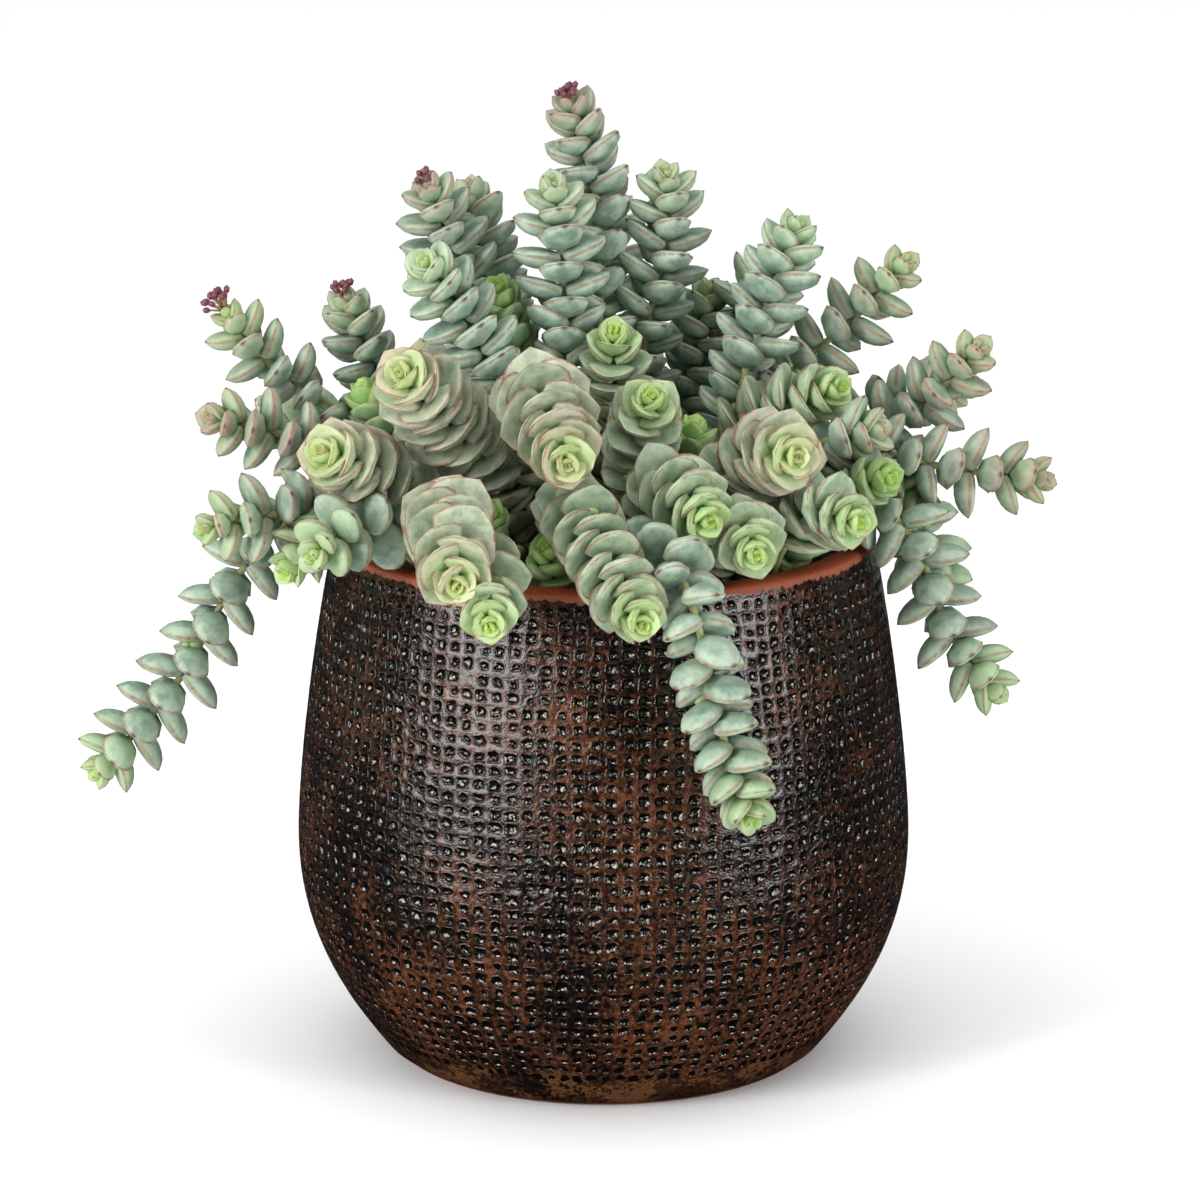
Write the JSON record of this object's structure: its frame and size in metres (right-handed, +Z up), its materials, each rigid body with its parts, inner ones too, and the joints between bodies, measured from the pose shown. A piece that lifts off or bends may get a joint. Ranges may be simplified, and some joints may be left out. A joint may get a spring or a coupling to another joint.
{
  "type": "potted crassula",
  "caption": "Trailing succulent with stacked pairs of plump grey-green leaves, growing from soil in a round-bellied glazed pot with a pressed weave texture.",
  "frame": {"origin": "centre of the pot's flat base, on the ground", "axes": "+Z up, +X to the right and -Y towards the side that is usually seen"},
  "size_m": [0.2169, 0.1725, 0.2171],
  "materials": {
    "pot_glaze": "glossy brown-black fired glaze over red clay",
    "potting_soil": "rough dark potting soil",
    "column_leaf": "powdery grey-green leaf with pink margins",
    "spire_leaf": "powdery blue-green leaf",
    "necklace_leaf": "satin blue-green leaf with a reddish tip",
    "sprig_leaf": "satin young yellow-green leaf"
  },
  "bodies": {
    "root": {"pot": "pot_glaze", "soil": "potting_soil", "stem_arm_left_high": "necklace_leaf", "stem_arm_left_low": "necklace_leaf", "stem_arm_left_middle": "necklace_leaf", "stem_arm_left_rim": "necklace_leaf", "stem_arm_left_upper": "spire_leaf", "stem_arm_right_high": "necklace_leaf", "stem_arm_right_low": "necklace_leaf", "stem_arm_right_middle": "necklace_leaf", "stem_back_arm_left": "necklace_leaf", "stem_back_arm_right": "necklace_leaf", "stem_back_column": "column_leaf", "stem_back_column_left": "column_leaf", "stem_back_column_right": "column_leaf", "stem_back_over_rim": "necklace_leaf", "stem_back_spire": "spire_leaf", "stem_back_sprig_left": "spire_leaf", "stem_back_sprig_low": "sprig_leaf", "stem_back_sprig_right": "spire_leaf", "stem_back_sprig_rim": "sprig_leaf", "stem_back_trailing": "necklace_leaf", "stem_back_trailing_right": "necklace_leaf", "stem_column_far_left": "column_leaf", "stem_column_front": "column_leaf", "stem_column_left": "column_leaf", "stem_column_over_rim_front": "column_leaf", "stem_column_over_rim_left": "column_leaf", "stem_column_right": "column_leaf", "stem_inner_centre_right": "sprig_leaf", "stem_inner_front": "sprig_leaf", "stem_inner_front_left": "sprig_leaf", "stem_inner_front_right": "sprig_leaf", "stem_inner_left": "sprig_leaf", "stem_inner_right": "sprig_leaf", "stem_inner_rim_right": "sprig_leaf", "stem_inner_upper_left": "sprig_leaf", "stem_rosette_centre_right": "spire_leaf", "stem_rosette_far_right": "spire_leaf", "stem_rosette_front_left": "column_leaf", "stem_rosette_right": "spire_leaf", "stem_rosette_rim_right": "spire_leaf", "stem_shoulder_far_right": "sprig_leaf", "stem_shoulder_right": "spire_leaf", "stem_shoulder_right_low": "spire_leaf", "stem_spire_behind_left": "spire_leaf", "stem_spire_behind_right": "spire_leaf", "stem_spire_centre": "spire_leaf", "stem_spire_far_left": "spire_leaf", "stem_spire_far_right": "spire_leaf", "stem_spire_farther_right": "spire_leaf", "stem_spire_left": "spire_leaf", "stem_spire_right": "spire_leaf", "stem_spire_tall": "spire_leaf", "stem_sprig_centre": "spire_leaf", "stem_sprig_centre_left": "sprig_leaf", "stem_sprig_over_rim_left": "sprig_leaf", "stem_trailing_front": "necklace_leaf", "stem_trailing_left": "necklace_leaf", "stem_trailing_right": "necklace_leaf"}
  },
  "joints": []
}
